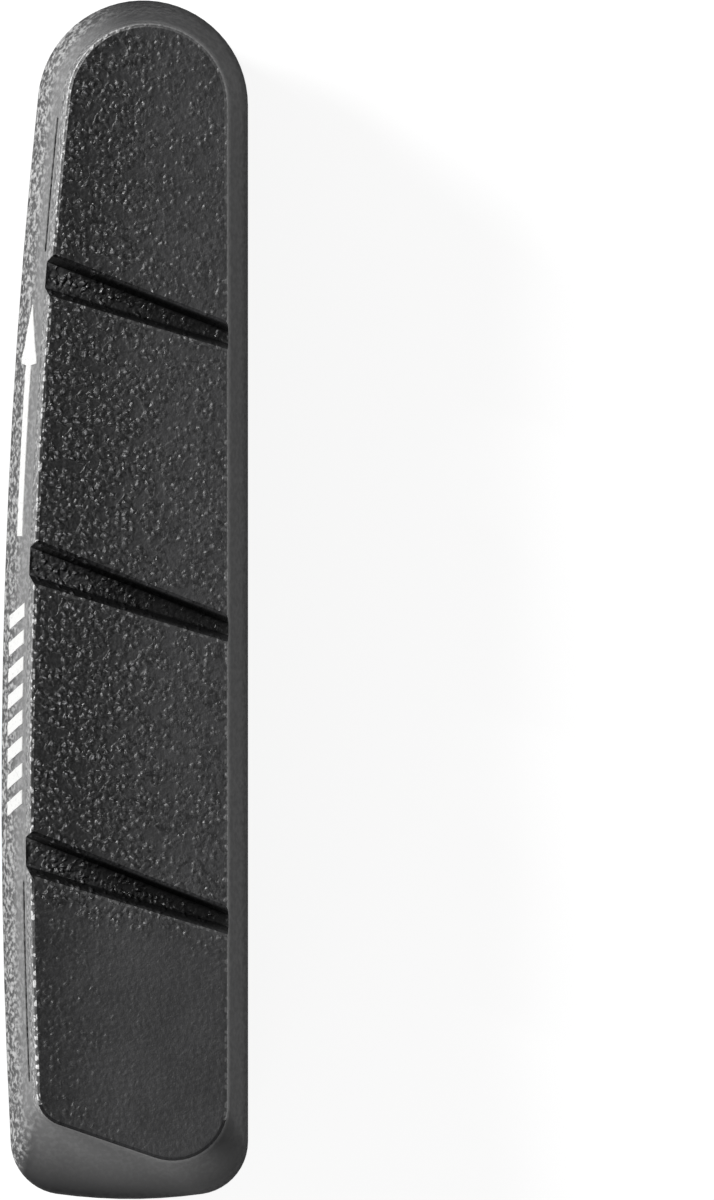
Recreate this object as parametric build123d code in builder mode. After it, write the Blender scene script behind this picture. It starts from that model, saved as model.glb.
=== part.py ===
"""Moulded rubber insert of a road bicycle rim brake, lying on the back of its holder rail.

The braking face looks up (+Z), the rounded front end points along +Y, the curved tyre side is at -X and
the straight spoke side at +X. The origin is on the back of the rail, on its centre line, at half the
length of the pad. All sizes are millimetres and degrees.
"""

import os
from math import asin, atan, cos, degrees, radians, sqrt, tan

from build123d import *

# Base, the widest outline of the pad
overall_length = 54.0
front_radius = 4.73
tyre_side_reach = 6.37
tyre_side_radius = 300.0
rear_crown = 0.6
rear_corner_radius = 2.4

# Flared shoulder between the base and the block, with the half-height of the bend at each end of it
skirt_height = 1.4
skirt_edge_radius = 0.3
skirt_bend = 0.5
flare_height = 1.8
root_bend = 0.2

# Braking block, the part that wears away
block_inset = 0.98
block_height = 3.0
block_draft = 3.0
block_heel = 3.8
block_tyre_corner_radius = 1.6
block_spoke_corner_radius = 2.6
face_edge_radius = 0.15

# Grooves across the block, wide at the tyre side and narrow at the spoke side
groove_count = 3
groove_pitch = 13.1
groove_angle = 19.0
groove_taper = 4.3
groove_width = 1.38
groove_depth = 2.6
groove_draft = 6.5
groove_lip = 0.1
groove_floor_radius = 0.12
groove_overrun = 4.0

# Rail that slides into the holder
foot_width = 8.2
foot_height = 2.2
foot_edge_radius = 0.4
neck_width = 6.0
neck_height = 1.6
rail_setback = 1.2
rail_corner_radius = 0.8

# Half-round notch in the foot, beside the holder's retaining screw
notch_radius = 1.6
notch_from_rear = 9.0

# Levels above the back of the rail
shoulder_level = foot_height + neck_height
widest_level = shoulder_level + skirt_height
block_level = widest_level + flare_height
face_level = block_level + block_height
groove_floor_level = face_level - groove_depth

# Stations along the pad
rear_y = -overall_length / 2
front_centre_y = overall_length / 2 - front_radius
rail_rear_y = rear_y + rail_setback
notch_y = rear_y + notch_from_rear

# The tyre side is an arc about the wheel's axle, tangent to the round front end
tyre_side_bulge = tyre_side_reach - front_radius
tyre_side_run = sqrt(tyre_side_bulge * (2 * tyre_side_radius - tyre_side_reach - front_radius))
tyre_side_lean = degrees(asin(tyre_side_run / (tyre_side_radius - front_radius)))
axle = Vector(tyre_side_radius - tyre_side_reach, front_centre_y - tyre_side_run)


def tyre_side_x(y, inset):
    """X of the tyre side at the station y, on an outline that lies inset from the widest one."""
    return axle.X - sqrt((tyre_side_radius - inset) ** 2 - (y - axle.Y) ** 2)


# The block's rear edge is parallel to the grooves, so its spoke-side corner reaches further back
rear_slope = tan(radians(groove_angle))
rear_secant = 1 / cos(radians(groove_angle))
block_rear_width = front_radius - block_inset - tyre_side_x(rear_y + block_heel, block_inset)
block_toe = block_heel - block_rear_width * rear_slope


def between(base_size, block_size, share):
    """A size on the way from the base to the block."""
    return base_size + share * (block_size - base_size)


def pad_outline(level, share, wall_inset):
    """Outline of the pad at one level.

    Share 0 is the base, square at the rear, and share 1 the foot of the block, slanted there. The wall
    inset draws the block's outline in further, all round.
    """
    inset = share * block_inset + wall_inset
    side_radius = tyre_side_radius - inset
    spoke_x = front_radius - inset
    tyre_y = rear_y + between(rear_crown, block_heel, share) + wall_inset * (rear_secant - rear_slope)
    spoke_y = rear_y + between(rear_crown, block_toe, share) + wall_inset * (rear_secant + rear_slope)
    tyre_corner = Vector(tyre_side_x(tyre_y, inset), tyre_y)
    spoke_corner = Vector(spoke_x, spoke_y)
    rear_middle = (tyre_corner + spoke_corner) / 2 - Vector(0, rear_crown * (1 - share))
    side_turn = degrees(asin((axle.Y - tyre_y) / side_radius))
    with BuildSketch(Plane.XY.offset(level)) as outline:
        with BuildLine():
            CenterArc((0, front_centre_y), spoke_x, 0, 180 - tyre_side_lean)
            CenterArc(axle, side_radius, 180 - tyre_side_lean, tyre_side_lean + side_turn)
            if share < 1:
                ThreePointArc(tyre_corner, rear_middle, spoke_corner)
            else:
                Line(tyre_corner, spoke_corner)
            Line(spoke_corner, (spoke_x, front_centre_y))
        make_face()
        tyre_round = between(rear_corner_radius, block_tyre_corner_radius, share) - wall_inset
        spoke_round = between(rear_corner_radius, block_spoke_corner_radius, share) - wall_inset
        for corner, radius in ((tyre_corner, tyre_round), (spoke_corner, spoke_round)):
            fillet(outline.vertices().sort_by_distance(corner + Vector(0, 0, level))[0], radius)
    return outline.sketch


def rail_outline(level, width):
    """Outline of one step of the rail: round at the front, square with eased corners at the rear."""
    with BuildSketch(Plane.XY.offset(level)) as outline:
        with Locations((0, front_centre_y)):
            Circle(width / 2)
            Rectangle(width, front_centre_y - rail_rear_y, align=(Align.CENTER, Align.MAX))
        fillet(outline.vertices().group_by(Axis.Y)[0], rail_corner_radius)
    return outline.sketch


def groove_wedges(widening):
    """Plans of all the grooves at the face, drawn past both sides of the pad."""
    run = tyre_side_reach + groove_overrun
    spread = run * tan(radians(groove_taper / 2))
    wide = groove_width / 2 + spread + widening
    narrow = groove_width / 2 - spread + widening
    with BuildSketch(Plane.XY.offset(face_level)) as plans:
        with GridLocations(0, groove_pitch, 1, groove_count):
            Polygon((-run, -wide), (run, -narrow), (run, narrow), (-run, wide), rotation=-groove_angle)
    return plans.sketch


# Side wall from the skirt up to the face, by stations of (level, share, wall inset). A run of three
# stations is a smooth bend, a run of two is straight, and two straight runs ease the face's edge.
bend_share = skirt_bend / flare_height
root_share = root_bend / flare_height
wall_foot_level = block_level + root_bend
wall_top_level = face_level - face_edge_radius
draft_inset = (wall_top_level - wall_foot_level) * tan(radians(block_draft))
half_round = face_edge_radius * (1 - sqrt(0.5))

skirt_top = (widest_level - skirt_bend, 0, 0)
bend_middle = (widest_level, bend_share / 4, 0)
flare_foot = (widest_level + skirt_bend, bend_share, 0)
flare_top = (block_level - root_bend, 1 - root_share, 0)
root_middle = (block_level, 1 - root_share / 4, 0)
wall_foot = (wall_foot_level, 1, 0)
wall_top = (wall_top_level, 1, draft_inset)
edge_middle = (face_level - half_round, 1, draft_inset + half_round)
face_rim = (face_level, 1, draft_inset + face_edge_radius)

wall_runs = [
    [skirt_top, bend_middle, flare_foot],
    [flare_foot, flare_top],
    [flare_top, root_middle, wall_foot],
    [wall_foot, wall_top],
    [wall_top, edge_middle],
    [edge_middle, face_rim],
]

with BuildPart() as brake_pad:
    # Skirt with an eased lower edge, then the wall above it, run by run
    extrude(pad_outline(shoulder_level, 0, 0), amount=skirt_height - skirt_bend)
    fillet(brake_pad.edges().group_by(Axis.Z)[0], skirt_edge_radius)
    for stations in wall_runs:
        loft([pad_outline(*station) for station in stations], ruled=len(stations) == 2)

    # Grooves with drafted walls, a rounded floor and an eased lip
    extrude(groove_wedges(0), amount=-groove_depth, taper=groove_draft, mode=Mode.SUBTRACT)
    for groove_floor in brake_pad.faces().filter_by_position(Axis.Z, groove_floor_level, groove_floor_level):
        fillet(groove_floor.edges().sort_by(SortBy.LENGTH)[-2:], groove_floor_radius)
    lip_slope = degrees(atan(1 + tan(radians(groove_draft))))
    extrude(groove_wedges(groove_lip), amount=-groove_lip, taper=lip_slope, mode=Mode.SUBTRACT)

    # Rail, a foot on a narrower neck, with the notch for the retaining screw
    extrude(rail_outline(foot_height, neck_width), amount=neck_height)
    extrude(rail_outline(0, foot_width), amount=foot_height)
    fillet(brake_pad.edges().filter_by_position(Axis.Z, 0, 0), foot_edge_radius)
    with BuildSketch():
        with Locations((foot_width / 2, notch_y)):
            Circle(notch_radius)
    extrude(amount=foot_height, mode=Mode.SUBTRACT)

brake_pad.part.label = "brake_pad"
os.makedirs("parts", exist_ok=True)
export_step(brake_pad.part, "parts/brake_pad.step")
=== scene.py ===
"""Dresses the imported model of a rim-brake insert with its grain, marks and finish, in a small studio.

The braking face looks up (+Z), the rounded front end points along +Y and the grained tyre side is at -X.
"""

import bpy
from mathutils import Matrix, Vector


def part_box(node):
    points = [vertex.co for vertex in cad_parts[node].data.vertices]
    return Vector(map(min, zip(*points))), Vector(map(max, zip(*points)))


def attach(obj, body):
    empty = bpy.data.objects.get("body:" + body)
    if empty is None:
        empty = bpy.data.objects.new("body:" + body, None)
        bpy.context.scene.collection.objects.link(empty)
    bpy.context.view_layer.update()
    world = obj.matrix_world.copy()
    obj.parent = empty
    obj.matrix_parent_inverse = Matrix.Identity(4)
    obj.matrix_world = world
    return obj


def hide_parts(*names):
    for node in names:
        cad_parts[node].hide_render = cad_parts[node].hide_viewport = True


bl_info = {
    "name": "Rim Brake Pad",
    "version": (1, 0, 0),
    "blender": (4, 5, 0),
    "location": "View3D > Sidebar > Brake Pad",
    "description": "Gives a moulded brake pad its grain, marks and finish, and sets a studio around it",
    "category": "Object",
}

from math import atan2, ceil, cos, radians, sin, sqrt, tan

import bmesh
import bpy
from bpy.props import FloatProperty, FloatVectorProperty, IntProperty, PointerProperty
from mathutils import Matrix, Vector
from mathutils.bvhtree import BVHTree
from mathutils.geometry import delaunay_2d_cdt
from mathutils.kdtree import KDTree

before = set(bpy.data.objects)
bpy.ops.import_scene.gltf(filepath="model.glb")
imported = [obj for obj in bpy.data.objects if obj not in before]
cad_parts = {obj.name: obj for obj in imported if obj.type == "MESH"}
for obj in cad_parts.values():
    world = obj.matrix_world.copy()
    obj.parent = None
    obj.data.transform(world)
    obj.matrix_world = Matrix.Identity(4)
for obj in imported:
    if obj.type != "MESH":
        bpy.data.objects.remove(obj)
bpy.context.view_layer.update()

MM = 0.001
NODE = "brake_pad"
UP = Vector((0, 0, 1))
WHITE = (1, 1, 1, 1)

# The pad's box gives the round front end: its radius is the reach of the straight spoke side
pad_low, pad_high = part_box(NODE)
front_radius = pad_high.x
front_y = pad_high.y - front_radius

# Grooves: their slope across the pad, where the outer two cross its centre line, how far along the pad
# they reach, and a level just under their floors
GROOVE_SLOPE = tan(radians(19))
FIRST_GROOVE = 13.1 * MM
LAST_GROOVE = -FIRST_GROOVE
GROOVE_REACH = 0.9 * front_y
GROOVE_FOOT = 7.3 * MM

# Levels from the braking face down the grooves: foot of the eased edge, end of the rubbed face, end of the
# full grain, middle of the grooves, and the painted light over their floors
BROW_LEVEL = pad_high.z - 0.2 * MM
RUBBED_LEVEL = pad_high.z - 0.3 * MM
GRAIN_LEVEL = pad_high.z - 0.5 * MM
MIDDLE_LEVEL = pad_high.z - 1.5 * MM
FLOOR_LIGHT_LEVEL = pad_high.z - 2.3 * MM

# Level of the pad's shoulder, with the smooth rail under it
SHOULDER_LEVEL = 3.8 * MM

# Border, in plan, between the grained tyre side and the smooth rear ramp: a point on it, and its slope
RAMP_BORDER_X = pad_low.x + 0.8 * MM
RAMP_BORDER_Y = pad_low.y + 1.3 * MM
RAMP_BORDER_SLOPE = 2.6

# Wear line: its gaps to the round front end and to the rear end, its rear length as a share of its front
# length, and half its width as a share of the mesh's spacing
LINE_FRONT_GAP = 0.6 * MM
LINE_REAR_GAP = 5.4 * MM
LINE_REAR_SHARE = 1.5
LINE_HALF_WIDTH = 0.45

# Kinds of face, by the largest and the smallest upward part of the normal
FLAT = (1.1, 0.99)
UPPER_BAND = (0.97, 0.8)
LIP = (0.78, 0.6)
LOWER_BAND = (0.5, 0.3)
EASED_EDGE = (UPPER_BAND[0], LOWER_BAND[1])
UPWARD = (1.1, 0.5)
FLARED_WALL = (0.9, -0.1)
BLOCK_WALL = (0.2, -0.1)

# Turn of faces to the pad's ends, by the normal's part along the pad: the most on the tyre side, the least
# on a groove's walls, and the turn from which an edge is a rear one
STRIP_TURN = 0.15
GROOVE_TURN = 0.85
REAR_TURN = -0.3

# Distance of the tyre side from the centre line, at least, as a share of the front radius
STRIP_SHARE = 0.6

# Shade and scuffs on the edges round the face, from shaded to scuffed; the pale scuffs are partly a painted
# highlight, brightest on the tyre side, which faces the key lamp
SHADED = -1.0
UNWORN = 0.0
LIP_SCUFF_GLINT = 0.2
SPOKE_SCUFF_GLINT = 0.25
TYRE_SCUFF_GLINT = 1.0

# Pebbles, in pitches: how far they stray from an even spread, and the size of their crowds
PEBBLE_STRAY = 0.9
PEBBLE_CROWD = 2.4

# Shaded relief, finer than the meshes: of the pebbles, as a share of their height, of the face's leathery
# skin and of the walls' grit
PEBBLE_RELIEF = 1.8
SKIN_RELIEF = 0.08 * MM
GRIT_RELIEF = 0.15 * MM

# Meshing: the distance at which points are one, the share of the spacing that new points keep from a patch's
# border, the tolerance of a plan in millimetres, a reach past the pad, and the angles of sharp edges
WELD = 1e-4 * MM
BORDER_SHARE = 0.6
PLAN_TOLERANCE = 1e-6
RAY_REACH = 4 * front_radius
SHARP_ANGLE = radians(30)
INK_SHARP_ANGLE = radians(50)

# Studio: the floor's reach and its gap under the pad, and the room's light near the floor and overhead
FLOOR_REACH = 3.0
FLOOR_GAP = 0.01 * MM
LOW_LIGHT = 0.6
OVERHEAD_LIGHT = 0.1


# Settings


def length(label, description, size):
    """A length that a user may change, given in millimetres."""
    return FloatProperty(
        name=label, description=description, default=size * MM, unit="LENGTH", precision=5)


def share(label, description, value):
    """A share between 0 and 1 that a user may change."""
    return FloatProperty(
        name=label, description=description, default=value, min=0, max=1, subtype="FACTOR")


def colour(label, description, value):
    """A colour that a user may change."""
    return FloatVectorProperty(
        name=label, description=description, default=value, min=0, max=1, subtype="COLOR")


def lamp_power(label, description, watts):
    """A lamp's power that a user may change."""
    return FloatProperty(name=label, description=description, default=watts, min=0, unit="POWER")


def angle(label, description, degrees):
    """An angle that a user may change, given in degrees."""
    return FloatProperty(
        name=label, description=description, default=radians(degrees), subtype="ANGLE")


class BrakePadGrain(bpy.types.PropertyGroup):
    """Moulded grain of the braking face and of the tyre side."""

    face_spacing: length("Face mesh", "Distance between mesh points on the braking face", 0.088)
    wall_spacing: length("Wall mesh", "Distance between mesh points on the grained wall", 0.1)
    block_spacing: length("Block mesh", "Distance between mesh points on the side of the block", 0.125)
    pebble_pitch: length("Pebble pitch", "Mean distance between pebbles on the braking face", 0.3)
    pebble_height: length("Pebble height", "Height of the tallest pebbles on the braking face", 0.1)
    wall_pitch: length("Wall grain pitch", "Mean distance between peaks of the wall's grain", 0.24)
    wall_height: length("Wall grain height", "Height of the wall's grain from pit to peak", 0.12)
    wall_foot: length("Wall foot", "Level at which the grained wall starts, above the pad's back", 4.7)
    wall_top: length("Wall top", "Level at which the block rises from the flared wall", 7.2)
    smooth_level: length("Smooth level", "Level above which the flared wall turns smooth", 6.6)
    line_level: length("Wear line level", "Level of the fine moulded wear line", 6.9)
    line_depth: length("Wear line depth", "Depth of the wear line", 0.25)
    line_reach: length("Wear line reach", "Length of the wear line at the front of the tyre side", 6.0)


class BrakePadPrint(bpy.types.PropertyGroup):
    """Plain marks printed on the tyre side: an arrow that points forward and a row of slanted bars."""

    level: length("Print level", "Level of the middle of the marks", 6.15)
    arrow_place: length("Arrow place", "Place of the arrow's middle along the pad", 8.1)
    arrow_length: length("Arrow length", "Length of the arrow", 10.4)
    arrow_shaft: length("Arrow shaft", "Height of the arrow's shaft", 0.42)
    arrow_head: length("Arrow head", "Height of the arrow's head", 1.3)
    arrow_head_share: share("Arrow head share", "Share of the arrow's length in its head", 0.26)
    bar_count: IntProperty(name="Bars", description="Number of slanted bars", default=8, min=1)
    bar_start: length("Bar start", "Place of the rearmost bar along the pad", -9.1)
    bar_pitch: length("Bar pitch", "Distance between bars", 1.2)
    bar_length: length("Bar length", "Length of one bar along the pad", 0.62)
    bar_height: length("Bar height", "Height of one bar", 1.2)
    bar_slant: share("Bar slant", "Lean of a bar to the front, for its height", 0.5)
    spacing: length("Print mesh", "Distance between mesh points of the print", 0.08)
    thickness: length("Ink thickness", "Thickness of the ink over the grain", 0.03)


class BrakePadFinish(bpy.types.PropertyGroup):
    """Colours and roughness of the rubber and of the print on it."""

    face_colour: colour("Face rubber", "Colour of the braking face", (0.032, 0.032, 0.033))
    wall_colour: colour("Wall rubber", "Colour of the smooth moulded walls", (0.026, 0.026, 0.027))
    # The bloom colour also gives the painted light on the rear ramp
    bloom_and_light_colour: colour("Bloom", "Colour of the pale bloom on the grained tyre side", (0.55, 0.55, 0.55))
    # The edge colour is partly a painted highlight on the scuffed edge
    edge_colour: colour("Edge", "Colour of the scuffed edge round the braking face", (0.8, 0.8, 0.8))
    ink_colour: colour("Ink", "Colour of the printed marks", (0.8, 0.8, 0.79))
    face_roughness: share("Face roughness", "Roughness of the braking face", 0.42)
    wall_roughness: share("Wall roughness", "Roughness of the moulded walls", 0.45)
    ink_roughness: share("Ink roughness", "Roughness of the printed marks", 0.55)


class BrakePadStage(bpy.types.PropertyGroup):
    """Studio around the pad, and the camera over it."""

    floor_colour: colour("Floor", "Colour of the floor", (0.32, 0.32, 0.32))
    floor_glow: share("Floor glow", "Light that lifts the floor to white where it is seen", 0.88)
    key_power: lamp_power("Key lamp", "Power of the lamp at the tyre side, near the front end", 1.2)
    rear_power: lamp_power("Rear lamp", "Power of the low lamp behind the rear end", 0.25)
    view_height: length("View height", "Height of the field that the camera frames", 54.05)
    view_distance: length("View distance", "Distance from the camera to the pad", 850)
    view_level: length("View level", "Level at which the field is framed", 5.2)
    view_offset: length("View offset", "Distance of the field's middle from the pad's centre line", 9.62)
    lean_to_tyre: angle("Lean to tyre side", "Turn of the view to the tyre side", 2.65)
    lean_to_front: angle("Lean to front", "Turn of the view to the front end", 0.9)


# Node trees, built from sockets and plain numbers


def feed(tree, socket, operand):
    """Links a node's input to a socket, or sets a plain value on it."""
    if isinstance(operand, bpy.types.NodeSocket):
        tree.links.new(operand, socket)
    else:
        socket.default_value = operand


def node(tree, kind, inputs=(), **settings):
    """A new node with its settings, and its named inputs fed."""
    made = tree.nodes.new(kind)
    for name, value in settings.items():
        setattr(made, name, value)
    for name, operand in dict(inputs).items():
        feed(tree, made.inputs[name], operand)
    return made


def calc(tree, operation, first, second=0.0):
    """Output of a Math node on two sockets or numbers."""
    made = node(tree, "ShaderNodeMath", operation=operation)
    feed(tree, made.inputs[0], first)
    feed(tree, made.inputs[1], second)
    return made.outputs[0]


def product(tree, first, *others):
    """Product of sockets or numbers."""
    for other in others:
        first = calc(tree, "MULTIPLY", first, other)
    return first


def ramp(tree, value, low, high, at_low=0.0, at_high=1.0):
    """A smooth step of a value, from one level to another."""
    inputs = {"Value": value, "From Min": low, "From Max": high, "To Min": at_low, "To Max": at_high}
    return node(tree, "ShaderNodeMapRange", inputs, interpolation_type="SMOOTHSTEP").outputs["Result"]


def blend(tree, factor, first, second):
    """A colour mixed from two."""
    made = node(tree, "ShaderNodeMix", data_type="RGBA")
    sockets = {socket.identifier: socket for socket in made.inputs}
    feed(tree, sockets["Factor_Float"], factor)
    feed(tree, sockets["A_Color"], first)
    feed(tree, sockets["B_Color"], second)
    return next(socket for socket in made.outputs if socket.identifier == "Result_Color")


def cloud(tree, place, pitch, detail=2.0, output="Fac"):
    """Soft noise between 0 and 1 whose features are a pitch apart, or its colours."""
    inputs = {"Vector": place, "Scale": calc(tree, "DIVIDE", 1.0, pitch), "Detail": detail}
    made = node(tree, "ShaderNodeTexNoise", inputs)
    return next(socket for socket in made.outputs if socket.identifier == output)


def axes(tree, operand):
    """Outputs X, Y and Z of a vector."""
    return node(tree, "ShaderNodeSeparateXYZ", {"Vector": operand}).outputs


def vector(tree, operation, first, second):
    """Output of a Vector Math node on two sockets or plain vectors."""
    made = node(tree, "ShaderNodeVectorMath", operation=operation)
    feed(tree, made.inputs[0], first)
    feed(tree, made.inputs[1], second)
    return made.outputs[0]


def scaled(tree, operand, factor):
    """A vector times a number."""
    inputs = {"Vector": operand, "Scale": factor}
    return node(tree, "ShaderNodeVectorMath", inputs, operation="SCALE").outputs[0]


def pebbles(tree, place, pitch):
    """Height, 0 to 1, of uneven pebbles, the dome of each, and how thickly they crowd."""
    stray = vector(tree, "SUBTRACT", cloud(tree, place, pitch, 1.0, "Color"), (0.5, 0.5, 0.5))
    strayed = vector(tree, "ADD", place, scaled(tree, stray, product(tree, pitch, PEBBLE_STRAY)))
    inputs = {"Vector": strayed, "Scale": calc(tree, "DIVIDE", 1.0, pitch)}
    cells = node(tree, "ShaderNodeTexVoronoi", inputs, voronoi_dimensions="2D").outputs
    dome = ramp(tree, cells["Distance"], 0.05, 0.5, 1.0, 0.0)
    chance = axes(tree, cells["Color"])["X"]
    height = product(tree, dome, ramp(tree, chance, 0.3, 0.95, 0.15, 1.0))
    crowd = cloud(tree, place, product(tree, pitch, PEBBLE_CROWD), 1.0)
    crowd = ramp(tree, crowd, 0.36, 0.5, 0.06, 1.0)
    return product(tree, height, crowd), dome, crowd


def slanted(tree, spot):
    """Place along the pad, counted at its centre line along the slant of the grooves."""
    return calc(tree, "ADD", spot["Y"], product(tree, spot["X"], GROOVE_SLOPE))


def face_fade(tree, place):
    """Depth of the face's grain.

    It is full at the tyre side, shallower at the spoke side, ahead of the first groove and in the grooves,
    and shallowest behind the last groove.
    """
    spot = axes(tree, place)
    across = ramp(tree, spot["X"], -0.9 * front_radius, 0.25 * front_radius, 1.0, 0.27)
    along = slanted(tree, spot)
    behind = ramp(tree, along, LAST_GROOVE - 2.4 * MM, LAST_GROOVE - 0.6 * MM, 0.15, 1.0)
    ahead = ramp(tree, along, FIRST_GROOVE, FIRST_GROOVE + MM, 1.0, 0.8)
    ends = product(tree, behind, ahead)
    sunk = ramp(tree, spot["Z"], MIDDLE_LEVEL, GRAIN_LEVEL, 0.7, 1.0)
    return product(tree, across, ends, sunk)


def tyre_side(tree, place, full, none):
    """1 on the tyre side above the rail, and 0 on the rear ramp.

    Round the front end it falls from 1 to 0 between two places across the pad.
    """
    spot = axes(tree, place)
    across = ramp(tree, spot["X"], full, none, 1.0, 0.0)
    inward = calc(tree, "SUBTRACT", spot["X"], RAMP_BORDER_X)
    forward = calc(tree, "SUBTRACT", spot["Y"], RAMP_BORDER_Y)
    ahead = calc(tree, "SUBTRACT", forward, product(tree, inward, RAMP_BORDER_SLOPE))
    above = ramp(tree, spot["Z"], SHOULDER_LEVEL, SHOULDER_LEVEL + 0.3 * MM)
    return product(tree, across, above, ramp(tree, ahead, -MM, MM))


def wall_fade(tree, place, smooth_level):
    """Depth of the tyre side's grain: full on the base, shallow under the block and full up its side."""
    level = axes(tree, place)["Z"]
    base_top = calc(tree, "SUBTRACT", smooth_level, 1.2 * MM)
    block_foot = calc(tree, "ADD", smooth_level, 0.5 * MM)
    block_full = calc(tree, "ADD", smooth_level, 0.8 * MM)
    base = ramp(tree, level, base_top, smooth_level, 1.0, 0.25)
    block = ramp(tree, level, block_foot, block_full)
    grained = tyre_side(tree, place, -0.3 * front_radius, 0.8 * front_radius)
    return product(tree, grained, calc(tree, "MAXIMUM", base, block))


def new_group(name, kind, inputs, outputs):
    """A node group with named sockets, and the sockets that its nodes start and end at."""
    tree = bpy.data.node_groups.new(name, kind)
    for label, socket_type in inputs:
        tree.interface.new_socket(label, in_out="INPUT", socket_type=socket_type)
    for label, socket_type in outputs:
        tree.interface.new_socket(label, in_out="OUTPUT", socket_type=socket_type)
    start = tree.nodes.new("NodeGroupInput").outputs
    end = tree.nodes.new("NodeGroupOutput").inputs
    return tree, start, end


# Finishes


def pebble_group():
    """Shader group of the braking face's pebbles."""
    tree, start, end = new_group(
        "Moulded Pebbles", "ShaderNodeTree",
        [("Vector", "NodeSocketVector"), ("Pitch", "NodeSocketFloat")],
        [("Height", "NodeSocketFloat"), ("Tip", "NodeSocketFloat"), ("Depth", "NodeSocketFloat")])
    stones, domes, crowd = pebbles(tree, start["Vector"], start["Pitch"])
    depth = face_fade(tree, start["Vector"])
    feed(tree, end["Height"], product(tree, stones, depth))
    feed(tree, end["Tip"], ramp(tree, domes, 0.1, 0.5, 0.1, 1.0))
    feed(tree, end["Depth"], product(tree, depth, crowd))
    return tree


def bloom_group():
    """Shader group of the pale mottling that moulded rubber shows."""
    tree, start, end = new_group(
        "Rubber Bloom", "ShaderNodeTree",
        [("Vector", "NodeSocketVector"), ("Patch", "NodeSocketFloat"), ("Speck", "NodeSocketFloat")],
        [("Mottle", "NodeSocketFloat"), ("Grit", "NodeSocketFloat")])
    feed(tree, end["Mottle"], ramp(tree, cloud(tree, start["Vector"], start["Patch"]), 0.3, 0.7))
    feed(tree, end["Grit"], cloud(tree, start["Vector"], start["Speck"], 3.0))
    return tree


def grouped(tree, group, inputs):
    """Outputs of a shader group, with its named inputs fed."""
    return node(tree, "ShaderNodeGroup", inputs, node_tree=group).outputs


def new_material(name):
    """A material, its nodes, its Principled shader's inputs, and the Object coordinates of its pattern."""
    material = bpy.data.materials.new(name)
    material.use_nodes = True
    tree = material.node_tree
    place = node(tree, "ShaderNodeTexCoord").outputs["Object"]
    return material, tree, tree.nodes["Principled BSDF"].inputs, place


def shade(base, factor=1.0):
    """A colour made lighter or darker, with alpha."""
    return (*[channel * factor for channel in base], 1.0)


def gritty(tree, grit, roughness, less, more):
    """Roughness that follows the grit, from a little less than its value to a little more."""
    return ramp(tree, grit, 0.3, 0.7, roughness - less, roughness + more)


def bump(tree, height, distance, normal=None):
    """Normal bent by a height, whose full range is a real distance."""
    made = node(tree, "ShaderNodeBump", {"Height": height, "Strength": 1.0, "Distance": distance})
    if normal:
        tree.links.new(normal, made.inputs["Normal"])
    return made.outputs["Normal"]


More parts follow.
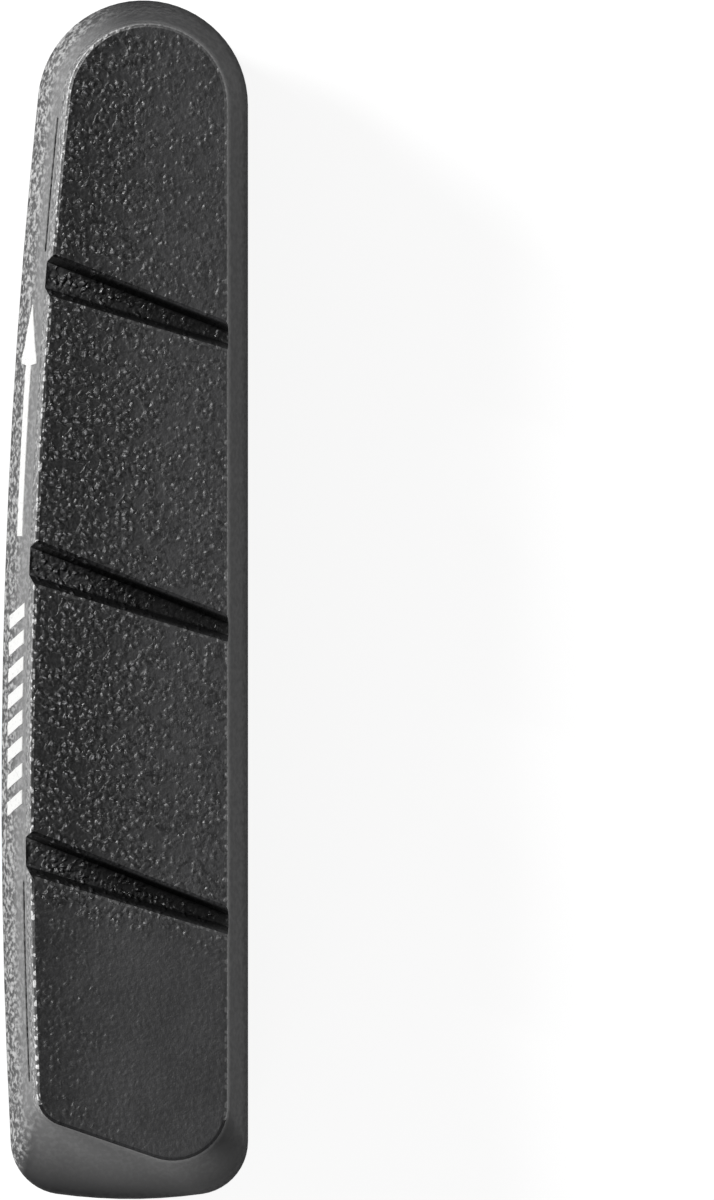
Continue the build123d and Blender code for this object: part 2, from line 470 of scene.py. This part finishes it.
def face_rubber(finish, grain, pebble_tree, bloom_tree):
    """Rubber of the braking face and the grooves: dark, with pale pebble tips that are a painted highlight.
    """
    material, tree, shader, place = new_material("face_rubber")
    stones = grouped(tree, pebble_tree, {"Vector": place, "Pitch": grain.pebble_pitch})
    bloom = grouped(tree, bloom_tree, {"Vector": place, "Patch": 2.5 * MM, "Speck": 0.18 * MM})
    rim = node(tree, "ShaderNodeAttribute", attribute_name="rim").outputs["Fac"]
    spot = axes(tree, place)
    fresh = shade(finish.face_colour, 0.4)
    grey = shade(finish.face_colour, 1.5)
    pale = shade(finish.face_colour, 12.0)
    pit_shade_colour = shade(finish.face_colour, 0.1)

    # Rubbed grey towards the spoke side and behind the last groove, and on the grooves' floors painted
    # light, paler towards their open ends at the tyre side
    behind = ramp(tree, slanted(tree, spot), LAST_GROOVE - MM, LAST_GROOVE, 0.6 * front_radius, 0.0)
    rubbed_and_lit = ramp(tree, calc(tree, "ADD", spot["X"], behind), -0.8 * front_radius, 0.4 * front_radius)
    patchy = ramp(tree, bloom["Mottle"], 0.0, 1.0, 0.8, 1.0)
    rubbed_and_lit = product(tree, rubbed_and_lit, patchy, ramp(tree, spot["Z"], MIDDLE_LEVEL, RUBBED_LEVEL))
    # Painted light: the grooves' floors paler towards the tyre side, where the key lamp shines in along them
    floor_light = ramp(tree, spot["Z"], FLOOR_LIGHT_LEVEL, MIDDLE_LEVEL, 1.0, 0.0)
    to_tyre = ramp(tree, spot["X"], pad_low.x, 0.0, 0.9, 0.0)
    floor_light = product(tree, floor_light, ramp(tree, rim, SHADED, UNWORN), to_tyre)
    rubbed_and_lit = calc(tree, "ADD", rubbed_and_lit, floor_light)
    base = blend(tree, rubbed_and_lit, fresh, grey)

    # Painted highlight on the pebble tips, painted shade in the pits, and the scuffed edge with its painted
    # highlight, which is even round the front end
    # Painted highlight: pale colour on the pebble tips
    tip_highlight = calc(tree, "POWER", stones["Height"], 2.0)
    base = blend(tree, tip_highlight, base, pale)
    rough = ramp(tree, stones["Depth"], 0.05, 0.4)
    # Painted shade: dark colour in the pits between the pebbles
    pit_shade = product(tree, rough, ramp(tree, bloom["Grit"], 0.36, 0.54, 0.75, 0.0))
    base = blend(tree, pit_shade, base, pit_shade_colour)
    # Painted highlight, with real scuffing: pale dots on the edge round the face, brightest on the tyre side
    even = ramp(tree, spot["Y"], 0.6 * front_y, front_y, 0.0, 0.5)
    tips = calc(tree, "MAXIMUM", stones["Tip"], even)
    scuff_glint = product(tree, ramp(tree, rim, UNWORN, TYRE_SCUFF_GLINT), tips)
    feed(tree, shader["Base Color"], blend(tree, scuff_glint, base, shade(finish.edge_colour)))

    # Matt and without a sheen where it is shaded
    roughness = gritty(tree, bloom["Grit"], finish.face_roughness, 0.08, 0.1)
    roughness = calc(tree, "ADD", roughness, product(tree, rubbed_and_lit, 0.1))
    roughness = calc(tree, "SUBTRACT", roughness, product(tree, pit_shade, 0.08))
    roughness = calc(tree, "ADD", roughness, ramp(tree, rim, SHADED, UNWORN, 0.5, 0.0))
    feed(tree, shader["Roughness"], roughness)
    feed(tree, shader["Specular IOR Level"], ramp(tree, rim, SHADED, UNWORN, 0.1, 0.9))

    leather = product(tree, bloom["Grit"], ramp(tree, rough, 0.0, 1.0, 0.6, 1.0))
    skin = bump(tree, leather, SKIN_RELIEF)
    relief = bump(tree, stones["Height"], PEBBLE_RELIEF * grain.pebble_height, skin)
    feed(tree, shader["Normal"], relief)
    return material


def wall_rubber(finish, grain, bloom_tree):
    """Rubber of the moulded walls: satin, coarsely grained and pale with bloom on the tyre side, with
    painted light on the rear ramp and painted shade in the wear line.
    """
    material, tree, shader, place = new_material("wall_rubber")
    bloom = grouped(tree, bloom_tree, {"Vector": place, "Patch": 3.5 * MM, "Speck": 0.22 * MM})
    fade = wall_fade(tree, place, grain.smooth_level)
    spot = axes(tree, place)
    ramp_foot = grain.wall_foot + 0.3 * MM
    satin_foot = grain.wall_foot + 1.2 * MM
    smooth_bloom = shade((0.36, 0.36, 0.36))

    # Bloom, speckled by the grain on the tyre side; on the rear ramp a smooth pale that is painted light,
    # paler towards the tyre side and upwards
    speck = ramp(tree, bloom["Grit"], 0.4, 0.68, 0.1, 1.0)
    pale = blend(tree, ramp(tree, fade, 0.0, 1.0, 0.12, 0.95), smooth_bloom, speck)
    # Painted light on the rear ramp: paler towards the tyre side and upwards, darker at its foot
    rear = ramp(tree, slanted(tree, spot), pad_low.y + 2.4 * MM, pad_low.y + 4 * MM, 1.0, 0.0)
    to_spokes = ramp(tree, spot["X"], -0.3 * front_radius, front_radius, 1.0, 0.75)
    rear = product(tree, rear, to_spokes, ramp(tree, spot["Z"], ramp_foot, grain.wall_top))
    bloomed = tyre_side(tree, place, -0.85 * front_radius, -0.1 * front_radius)
    pale = product(tree, pale, calc(tree, "MAXIMUM", rear, bloomed))
    base = blend(tree, bloom["Mottle"], shade(finish.wall_colour, 0.9), shade(finish.wall_colour, 1.1))
    base = blend(tree, pale, base, shade(finish.bloom_and_light_colour))

    # Wear line, dark with painted shade in its sunk groove, broken up by the grit
    line = node(tree, "ShaderNodeAttribute", attribute_name="lined").outputs["Fac"]
    line = product(tree, line, ramp(tree, bloom["Grit"], 0.35, 0.6, 1.0, 0.3))
    base = blend(tree, ramp(tree, line, 0.05, 0.6), base, shade(finish.wall_colour, 0.5))
    feed(tree, shader["Base Color"], base)

    roughness = gritty(tree, bloom["Grit"], finish.wall_roughness, 0.05, 0.07)
    dull = ramp(tree, spot["Z"], ramp_foot, satin_foot, 0.4, 0.0)
    feed(tree, shader["Roughness"], calc(tree, "ADD", roughness, dull))
    feed(tree, shader["Specular IOR Level"], 0.27)
    grit = product(tree, bloom["Grit"], fade)
    feed(tree, shader["Normal"], bump(tree, grit, GRIT_RELIEF))
    return material


def mark_ink(finish, bloom_tree):
    """Pad-printed ink: matt white, a little thin in specks."""
    material, tree, shader, place = new_material("mark_ink")
    bloom = grouped(tree, bloom_tree, {"Vector": place, "Patch": 0.5 * MM, "Speck": 0.12 * MM})
    thin = ramp(tree, bloom["Grit"], 0.55, 0.75, 0.0, 0.5)
    ink = blend(tree, thin, shade(finish.ink_colour), shade(finish.ink_colour, 0.6))
    feed(tree, shader["Base Color"], ink)
    feed(tree, shader["Roughness"], finish.ink_roughness)
    return material


# Pieces


def new_piece(name, mesh):
    """An object in the scene with a mesh."""
    piece = bpy.data.objects.new(name, mesh)
    bpy.context.scene.collection.objects.link(piece)
    return piece


def grow(piece, tree, values):
    """Runs a geometry tree on a piece, with its named inputs."""
    modifier = piece.modifiers.new(tree.name, "NODES")
    modifier.node_group = tree
    for item in tree.interface.items_tree:
        if item.in_out == "INPUT" and item.name in values:
            modifier[item.identifier] = values[item.name]


def settle(piece):
    """Makes a piece's evaluated shape its plain mesh, and removes its modifiers."""
    graph = bpy.context.evaluated_depsgraph_get()
    mesh = bpy.data.meshes.new_from_object(
        piece.evaluated_get(graph), preserve_all_data_layers=True, depsgraph=graph)
    for index in reversed(range(len(mesh.materials))):
        if mesh.materials[index] is None:
            mesh.materials.pop(index=index)
    piece.modifiers.clear()
    piece.data = mesh


# Body of the pad


def merged_copy(name):
    """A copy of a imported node's triangles, joined at their corners."""
    mesh = bmesh.new()
    mesh.from_mesh(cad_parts[name].data)
    bmesh.ops.remove_doubles(mesh, verts=mesh.verts, dist=WELD)
    mesh.normal_update()
    return mesh


def from_above(point):
    """Plan of a point on the braking face, in millimetres."""
    return Vector((point.x, point.y)) / MM


def drop_ray(plan):
    """Ray that comes down on the braking face or a groove's floor at a place of its plan."""
    return Vector((plan.x * MM, plan.y * MM, 2 * pad_high.z)), -UP


def unrolled(point):
    """Plan of a point on the tyre side or the round front end, unrolled into one strip, in millimetres."""
    if point.y <= front_y:
        return Vector((point.y, point.z)) / MM
    turn = atan2(point.y - front_y, -point.x)
    return Vector((front_y + front_radius * turn, point.z)) / MM


def side_ray(plan):
    """Ray that comes in from outside on the unrolled strip at a place of its plan."""
    along, level = plan * MM
    turn = max(0.0, along - front_y) / front_radius
    outward = Vector((-cos(turn), sin(turn), 0))
    foot = Vector((0, min(along, front_y), level))
    return foot + RAY_REACH * outward, -outward


def even_places(plan, spacing):
    """Places of an even triangular grid over the box of a plan."""
    low = Vector((min(p.x for p in plan), min(p.y for p in plan)))
    high = Vector((max(p.x for p in plan), max(p.y for p in plan)))
    row_height = spacing * sqrt(3) / 2
    for row in range(1, ceil((high.y - low.y) / row_height)):
        start = low.x + spacing * (row % 2) / 2
        for column in range(ceil((high.x - start) / spacing)):
            yield Vector((start + column * spacing, low.y + row * row_height))


def remesh(mesh, faces, flatten, ray, spacing, layer):
    """Meshes a patch afresh with small even triangles, and marks its inner points in a layer.

    Flatten gives a point's place on the patch's plan, and ray finds the point at a place again.
    """
    corners = list(dict.fromkeys(corner for face in faces for corner in face.verts))
    rank = {corner: index for index, corner in enumerate(corners)}
    surface = BVHTree.FromPolygons(
        [corner.co.copy() for corner in corners],
        [[rank[corner] for corner in face.verts] for face in faces])
    patch = set(faces)

    def border_edges():
        """Edges between the patch and the rest of the mesh."""
        return [edge for face in faces for edge in face.edges if not patch.issuperset(edge.link_faces)]

    long_edges = {}
    for edge in border_edges():
        long_edges.setdefault(ceil(edge.calc_length() / spacing) - 1, []).append(edge)
    for cuts, edges in long_edges.items():
        if cuts:
            bmesh.ops.bisect_edges(mesh, edges=edges, cuts=cuts)
    edges = border_edges()
    points = list(dict.fromkeys(corner for edge in edges for corner in edge.verts))
    rank = {point: index for index, point in enumerate(points)}
    pairs = [[rank[corner] for corner in edge.verts] for edge in edges]
    bmesh.ops.delete(mesh, geom=faces, context="FACES_KEEP_BOUNDARY")

    border = KDTree(len(points))
    for index, point in enumerate(points):
        border.insert(point.co, index)
    border.balance()
    plan = [flatten(point.co) for point in points]
    for place in list(even_places(plan, spacing / MM)):
        hit = surface.ray_cast(*ray(place))[0]
        if hit and border.find(hit)[2] > BORDER_SHARE * spacing:
            point = mesh.verts.new(hit)
            point[layer] = 1.0
            points.append(point)
            plan.append(place)
    inside_with_holes = 2
    _, _, triangles, sources, _, _ = delaunay_2d_cdt(plan, pairs, [], inside_with_holes, PLAN_TOLERANCE)
    for triangle in triangles:
        mesh.faces.new([points[sources[corner][0]] for corner in triangle])
    mesh.normal_update()


def is_kind(face, largest, smallest):
    """Whether the upward part of a face's normal is that of a kind of face."""
    return largest >= face.normal.z >= smallest


def pick(mesh, low, high, kind):
    """Faces of a kind whose middles lie between two levels."""
    return [
        face for face in mesh.faces
        if is_kind(face, *kind) and low <= face.calc_center_median_weighted().z <= high
    ]


def on_strip(face):
    """Whether a face of the outer wall lies on the tyre side or the round front end."""
    middle = face.calc_center_median_weighted()
    if middle.y > front_y:
        return True
    return middle.x < -STRIP_SHARE * front_radius and abs(face.normal.y) < STRIP_TURN


def in_groove(face):
    """Whether a face is one of a groove's walls."""
    middle = face.calc_center_median_weighted()
    return abs(middle.y) < GROOVE_REACH and abs(face.normal.y) > GROOVE_TURN and middle.z > GROOVE_FOOT


def edge_light_and_wear(face):
    """How shaded or scuffed a face is, by its place on the edges of the braking face and the grooves. The
    scuffs are partly a painted highlight.
    """
    if in_groove(face):
        return SHADED
    if face.calc_center_median_weighted().z <= BROW_LEVEL:
        return UNWORN
    if is_kind(face, *LIP):
        return SHADED if face.normal.y < 0 else LIP_SCUFF_GLINT
    if is_kind(face, *EASED_EDGE):
        outward = face.normal.xy.normalized()
        to_tyre = -min(0.0, outward.x)
        return SHADED if outward.y < REAR_TURN else SPOKE_SCUFF_GLINT + (TYRE_SCUFF_GLINT - SPOKE_SCUFF_GLINT) * to_tyre
    return UNWORN


def line_ends(grain):
    """Where the wear line runs, at the front end and at the rear end of the tyre side."""
    front_stop = front_y - LINE_FRONT_GAP
    rear_stop = pad_low.y + LINE_REAR_GAP
    rear_reach = LINE_REAR_SHARE * grain.line_reach
    return (front_stop - grain.line_reach, front_stop), (rear_stop, rear_stop + rear_reach)


def body_mesh(grain):
    """Mesh of the pad with fine patches where it is grained, and layers that say where that is."""
    mesh = merged_copy(NODE)
    pebbled = mesh.verts.layers.float.new("pebbled")
    grained = mesh.verts.layers.float.new("grained")
    lined = mesh.verts.layers.float.new("lined")
    is_face = mesh.faces.layers.int.new("is_face")
    rim = mesh.faces.layers.float.new("rim")

    # Braking face, the two eased bands and the lips round it, then the grooves' floors
    for kind in (FLAT, UPPER_BAND, LIP, LOWER_BAND):
        top = pick(mesh, BROW_LEVEL, pad_high.z + MM, kind)
        remesh(mesh, top, from_above, drop_ray, grain.face_spacing, pebbled)
    floors = pick(mesh, grain.wall_top, pad_high.z - MM, FLAT)
    remesh(mesh, floors, from_above, drop_ray, grain.wall_spacing, pebbled)
    for face in mesh.faces:
        level = face.calc_center_median_weighted().z
        in_floor = is_kind(face, *UPWARD) and level > grain.wall_top
        face[is_face] = level > BROW_LEVEL or in_groove(face) or in_floor
        face[rim] = edge_light_and_wear(face)
    for point in mesh.verts:
        if point.co.z > pad_high.z - WELD:
            point[pebbled] = 1.0

    # Flared wall of the tyre side and the front end, and the side of the block above it
    wall = [face for face in pick(mesh, grain.wall_foot, grain.wall_top, FLARED_WALL) if on_strip(face)]
    remesh(mesh, wall, unrolled, side_ray, grain.wall_spacing, grained)
    block = [face for face in pick(mesh, grain.wall_top, BROW_LEVEL, BLOCK_WALL) if on_strip(face)]
    remesh(mesh, block, unrolled, side_ray, grain.block_spacing, grained)
    line_runs = line_ends(grain)
    for point in mesh.verts:
        near = abs(point.co.z - grain.line_level) < LINE_HALF_WIDTH * grain.wall_spacing
        if point[grained] and near and any(rear < point.co.y < front for rear, front in line_runs):
            point[lined] = 1.0

    bmesh.ops.triangulate(mesh, faces=[face for face in mesh.faces if len(face.verts) > 3])
    bmesh.ops.recalc_face_normals(mesh, faces=mesh.faces)

    # Smooth shading, save over sharp edges and at the borders of the block's plain walls
    plain = {face for face in pick(mesh, grain.wall_top, BROW_LEVEL, BLOCK_WALL) if not on_strip(face)}
    for face in mesh.faces:
        face.smooth = True
    for edge in mesh.edges:
        at_border = len(plain.intersection(edge.link_faces)) == 1
        edge.smooth = edge.calc_face_angle() < SHARP_ANGLE and not at_border
    made = bpy.data.meshes.new("pad_body")
    mesh.to_mesh(made)
    mesh.free()
    return made


def grain_tree():
    """Geometry tree that sinks the grain and the wear line into the body, and sets the rubbers."""
    distances = ("Pebble Pitch", "Pebble Height", "Wall Pitch", "Wall Height", "Smooth Level", "Line Depth")
    tree, start, end = new_group(
        "Moulded Grain", "GeometryNodeTree",
        [("Pad", "NodeSocketGeometry"), *[(name, "NodeSocketFloat") for name in distances],
         ("Face Rubber", "NodeSocketMaterial"), ("Wall Rubber", "NodeSocketMaterial")],
        [("Pad", "NodeSocketGeometry")])
    place = node(tree, "GeometryNodeInputPosition").outputs[0]

    def painted(name, kind="FLOAT"):
        """A layer of the mesh."""
        made = node(tree, "GeometryNodeInputNamedAttribute", {"Name": name}, data_type=kind)
        return made.outputs["Attribute"]

    stones = calc(tree, "SUBTRACT", pebbles(tree, place, start["Pebble Pitch"])[0], 1.0)
    stones = product(tree, stones, face_fade(tree, place), start["Pebble Height"], painted("pebbled"))
    grit = calc(tree, "SUBTRACT", cloud(tree, place, start["Wall Pitch"]), 1.0)
    fade = wall_fade(tree, place, start["Smooth Level"])
    grit = product(tree, grit, fade, start["Wall Height"], painted("grained"))
    line = scaled(tree, -UP, product(tree, start["Line Depth"], painted("lined")))
    normal = node(tree, "GeometryNodeInputNormal").outputs[0]
    offset = vector(tree, "ADD", scaled(tree, normal, calc(tree, "ADD", stones, grit)), line)
    moved = node(tree, "GeometryNodeSetPosition", {"Geometry": start["Pad"], "Offset": offset})
    real = node(tree, "GeometryNodeRealizeInstances", {"Geometry": moved.outputs[0]})
    walls = node(tree, "GeometryNodeSetMaterial", {
        "Geometry": real.outputs[0], "Material": start["Wall Rubber"]})
    face = node(tree, "GeometryNodeSetMaterial", {
        "Geometry": walls.outputs[0], "Selection": painted("is_face", "INT"),
        "Material": start["Face Rubber"]})
    feed(tree, end["Pad"], face.outputs[0])
    return tree


class BRAKEPAD_OT_mould_body(bpy.types.Operator):
    """Mould the pad's body, with its grained face and walls and its wear line"""

    bl_idname = "brakepad.mould_body"
    bl_label = "Mould Pad Body"

    def execute(self, context):
        grain = context.scene.brake_pad_grain
        finish = context.scene.brake_pad_finish
        bloom_tree = bloom_group()
        body = new_piece("pad_body", body_mesh(grain))
        grow(body, grain_tree(), {
            "Pebble Pitch": grain.pebble_pitch,
            "Pebble Height": grain.pebble_height,
            "Wall Pitch": grain.wall_pitch,
            "Wall Height": grain.wall_height,
            "Smooth Level": grain.smooth_level,
            "Line Depth": grain.line_depth,
            "Face Rubber": face_rubber(finish, grain, pebble_group(), bloom_tree),
            "Wall Rubber": wall_rubber(finish, grain, bloom_tree),
        })
        weighted = body.modifiers.new("Weighted Normals", "WEIGHTED_NORMAL")
        weighted.keep_sharp = True
        settle(body)
        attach(body, "root")
        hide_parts(NODE)
        return {"FINISHED"}


# Printed marks


def print_tree():
    """Geometry tree of a row of printed marks on the tyre side: bars, upright or slanted, or arrows."""
    sizes = ("Start", "Level", "Pitch", "Length", "Bar Height", "Head Height", "Spacing", "Thickness")
    tree, start, end = new_group(
        "Printed Marks", "GeometryNodeTree",
        [("Body", "NodeSocketObject"), ("Count", "NodeSocketInt"), ("Head Share", "NodeSocketFloat"),
         ("Slant", "NodeSocketFloat"), *[(name, "NodeSocketFloat") for name in sizes],
         ("Ink", "NodeSocketMaterial")],
        [("Marks", "NodeSocketGeometry")])

    def steps(size):
        """Number of mesh points along a size."""
        return calc(tree, "ADD", calc(tree, "CEIL", calc(tree, "DIVIDE", size, start["Spacing"])), 1.0)

    def spot(x, y, z):
        """A place made of three numbers."""
        return node(tree, "ShaderNodeCombineXYZ", {"X": x, "Y": y, "Z": z}).outputs[0]

    # One mark as a flat sheet, tapered to the front where it is an arrow's head
    tall = calc(tree, "MAXIMUM", start["Bar Height"], start["Head Height"])
    sheet = node(tree, "GeometryNodeMeshGrid", {
        "Size X": start["Length"], "Size Y": 1.0,
        "Vertices X": steps(start["Length"]), "Vertices Y": steps(tall)})
    place = node(tree, "GeometryNodeInputPosition").outputs[0]
    flat = axes(tree, place)
    to_tip = calc(tree, "SUBTRACT", 0.5, calc(tree, "DIVIDE", flat["X"], start["Length"]))
    taper = calc(tree, "DIVIDE", to_tip, start["Head Share"])
    head = calc(tree, "MAXIMUM", product(tree, start["Head Height"], taper), start["Thickness"])
    in_head = calc(tree, "LESS_THAN", to_tip, start["Head Share"])
    more = product(tree, in_head, calc(tree, "SUBTRACT", head, start["Bar Height"]))
    up = product(tree, flat["Y"], calc(tree, "ADD", start["Bar Height"], more))
    along = calc(tree, "ADD", flat["X"], product(tree, up, start["Slant"]))
    mark = node(tree, "GeometryNodeSetPosition", {
        "Geometry": sheet.outputs["Mesh"], "Position": spot(0.0, along, up)})

    # A row of them, dropped on the body from the tyre side
    line = node(tree, "GeometryNodeMeshLine", {
        "Count": start["Count"], "Start Location": spot(0.0, start["Start"], start["Level"]),
        "Offset": spot(0.0, start["Pitch"], 0.0)})
    row = node(tree, "GeometryNodeInstanceOnPoints", {
        "Points": line.outputs[0], "Instance": mark.outputs[0]})
    real = node(tree, "GeometryNodeRealizeInstances", {"Geometry": row.outputs[0]})
    body = node(tree, "GeometryNodeObjectInfo", {"Object": start["Body"]})
    ray = node(tree, "GeometryNodeRaycast", {
        "Target Geometry": body.outputs["Geometry"],
        "Source Position": vector(tree, "ADD", place, (2 * pad_low.x, 0, 0)),
        "Ray Direction": (1, 0, 0), "Ray Length": RAY_REACH})
    root = spot(start["Thickness"], 0.0, 0.0)
    laid = node(tree, "GeometryNodeSetPosition", {
        "Geometry": real.outputs[0], "Position": ray.outputs["Hit Position"], "Offset": root})

    # A thin closed solid, rooted in the grain
    under = laid.outputs[0]
    over = node(tree, "GeometryNodeFlipFaces", {"Mesh": under})
    raised = node(tree, "GeometryNodeExtrudeMesh", {
        "Mesh": over.outputs[0], "Offset": scaled(tree, root, -2.0), "Individual": False})
    both = node(tree, "GeometryNodeJoinGeometry")
    tree.links.new(under, both.inputs[0])
    tree.links.new(raised.outputs["Mesh"], both.inputs[0])
    closed = node(tree, "GeometryNodeMergeByDistance", {"Geometry": both.outputs[0], "Distance": WELD})
    inked = node(tree, "GeometryNodeSetMaterial", {"Geometry": closed.outputs[0], "Material": start["Ink"]})
    feed(tree, end["Marks"], inked.outputs[0])
    return tree


class BRAKEPAD_OT_print_marks(bpy.types.Operator):
    """Print the arrow and the slanted bars on the pad's tyre side"""

    bl_idname = "brakepad.print_marks"
    bl_label = "Print Marks"

    def execute(self, context):
        marks = context.scene.brake_pad_print
        tree = print_tree()
        shared = {
            "Body": bpy.data.objects["pad_body"],
            "Level": marks.level,
            "Spacing": marks.spacing,
            "Thickness": marks.thickness,
            "Ink": mark_ink(context.scene.brake_pad_finish, bpy.data.node_groups["Rubber Bloom"]),
        }
        rows = {
            "print_arrow": {
                "Count": 1, "Start": marks.arrow_place, "Length": marks.arrow_length, "Slant": 0.0,
                "Bar Height": marks.arrow_shaft, "Head Height": marks.arrow_head,
                "Head Share": marks.arrow_head_share},
            "print_bars": {
                "Count": marks.bar_count, "Start": marks.bar_start, "Pitch": marks.bar_pitch,
                "Length": marks.bar_length, "Bar Height": marks.bar_height, "Slant": marks.bar_slant,
                "Head Height": 0.0, "Head Share": 0.0},
        }
        for name, values in rows.items():
            piece = new_piece(name, bpy.data.meshes.new(name))
            grow(piece, tree, {**shared, **values})
            settle(piece)
            if not piece.data.polygons:
                raise RuntimeError(f"{name} has no faces")
            piece.data.shade_smooth()
            piece.data.set_sharp_from_angle(angle=INK_SHARP_ANGLE)
            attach(piece, "root")
        return {"FINISHED"}


# Studio


def add_lamp(name, power, azimuth, elevation, distance, size):
    """A soft lamp turned to the pad and unseen by the camera. Azimuth 0 is at the spoke side."""
    around = Vector((cos(azimuth), sin(azimuth), 0)) * cos(elevation)
    place = (around + UP * sin(elevation)) * distance
    light = bpy.data.lights.new(name, "AREA")
    light.shape = "RECTANGLE"
    light.size, light.size_y = size
    light.energy = power
    lamp = bpy.data.objects.new(name, light)
    lamp.location = place
    lamp.rotation_euler = (-place).to_track_quat("-Z", "Y").to_euler()
    lamp.visible_camera = False
    bpy.context.scene.collection.objects.link(lamp)


def seen_rays(tree):
    """1 for rays from the camera, from a gloss or through glass, which see a white background."""
    path = node(tree, "ShaderNodeLightPath").outputs
    seen = calc(tree, "MAXIMUM", path["Is Camera Ray"], path["Is Glossy Ray"])
    return calc(tree, "MAXIMUM", seen, path["Is Transmission Ray"])


def floor_material(stage):
    """Pale floor that takes the pad's shadow, lifted towards white where it is seen."""
    material = bpy.data.materials.new("studio_floor")
    material.use_nodes = True
    tree = material.node_tree
    shader = tree.nodes["Principled BSDF"].inputs
    feed(tree, shader["Base Color"], shade(stage.floor_colour))
    feed(tree, shader["Roughness"], 0.9)
    feed(tree, shader["Specular IOR Level"], 0.1)
    feed(tree, shader["Emission Color"], WHITE)
    feed(tree, shader["Emission Strength"], product(tree, seen_rays(tree), stage.floor_glow))
    return material


def studio_world():
    """Room that is bright near the floor and dim overhead."""
    world = bpy.data.worlds.new("studio_world")
    world.use_nodes = True
    tree = world.node_tree
    background = tree.nodes["Background"].inputs
    feed(tree, background["Color"], WHITE)
    height = axes(tree, node(tree, "ShaderNodeTexCoord").outputs["Generated"])["Z"]
    feed(tree, background["Strength"], ramp(tree, height, 0.05, 0.75, LOW_LIGHT, OVERHEAD_LIGHT))
    return world


def floor_mesh():
    """One square just under the pad."""
    level = pad_low.z - FLOOR_GAP
    corners = [(-1, -1), (1, -1), (1, 1), (-1, 1)]
    mesh = bpy.data.meshes.new("floor")
    mesh.from_pydata([(x * FLOOR_REACH, y * FLOOR_REACH, level) for x, y in corners], [], [(0, 1, 2, 3)])
    return mesh


def add_camera(stage):
    """A long lens high over the pad, framed on it and on the clear floor beside it."""
    target = Vector((stage.view_offset, 0, stage.view_level))
    back = Vector((-sin(stage.lean_to_tyre), sin(stage.lean_to_front), 0))
    back.z = sqrt(1 - back.length_squared)
    right = Vector((0, 1, 0)).cross(back).normalized()
    data = bpy.data.cameras.new("camera")
    data.lens = data.sensor_width * stage.view_distance / stage.view_height
    camera = bpy.data.objects.new("camera", data)
    turn = Matrix((right, back.cross(right), back)).transposed()
    camera.matrix_world = Matrix.Translation(target + back * stage.view_distance) @ turn.to_4x4()
    bpy.context.scene.collection.objects.link(camera)
    bpy.context.scene.camera = camera


class BRAKEPAD_OT_set_stage(bpy.types.Operator):
    """Set the floor, the lamps and the camera around the pad"""

    bl_idname = "brakepad.set_stage"
    bl_label = "Set Stage"

    def execute(self, context):
        stage = context.scene.brake_pad_stage
        mesh = floor_mesh()
        mesh.materials.append(floor_material(stage))
        new_piece("floor", mesh)
        add_lamp(
            "key_lamp", stage.key_power, azimuth=radians(152.5), elevation=radians(28),
            distance=0.35, size=(0.1, 0.1))
        add_lamp(
            "rear_lamp", stage.rear_power, azimuth=radians(262), elevation=radians(20),
            distance=0.4, size=(0.3, 0.15))
        context.scene.world = studio_world()
        context.scene.view_settings.view_transform = "Standard"
        add_camera(stage)
        return {"FINISHED"}


class VIEW3D_PT_brake_pad(bpy.types.Panel):
    """Steps and settings of the brake pad"""

    bl_label = "Brake Pad"
    bl_space_type = "VIEW_3D"
    bl_region_type = "UI"
    bl_category = "Brake Pad"

    def draw(self, context):
        for step in STEPS:
            self.layout.operator(step.bl_idname)
        for name in SETTINGS:
            group = getattr(context.scene, name)
            for key in group.__annotations__:
                self.layout.prop(group, key)


STEPS = (BRAKEPAD_OT_mould_body, BRAKEPAD_OT_print_marks, BRAKEPAD_OT_set_stage)
SETTINGS = {
    "brake_pad_grain": BrakePadGrain,
    "brake_pad_print": BrakePadPrint,
    "brake_pad_finish": BrakePadFinish,
    "brake_pad_stage": BrakePadStage,
}


def register():
    """Registers the settings, the steps and the panel."""
    for cls in (*SETTINGS.values(), *STEPS, VIEW3D_PT_brake_pad):
        bpy.utils.register_class(cls)
    for name, cls in SETTINGS.items():
        setattr(bpy.types.Scene, name, PointerProperty(type=cls))


def unregister():
    """Removes what register added."""
    for name in SETTINGS:
        delattr(bpy.types.Scene, name)
    for cls in (VIEW3D_PT_brake_pad, *STEPS, *SETTINGS.values()):
        bpy.utils.unregister_class(cls)


def main():
    """Builds the pad and its studio."""
    register()
    bpy.ops.brakepad.mould_body()
    bpy.ops.brakepad.print_marks()
    bpy.ops.brakepad.set_stage()


if __name__ == "__main__":
    main()
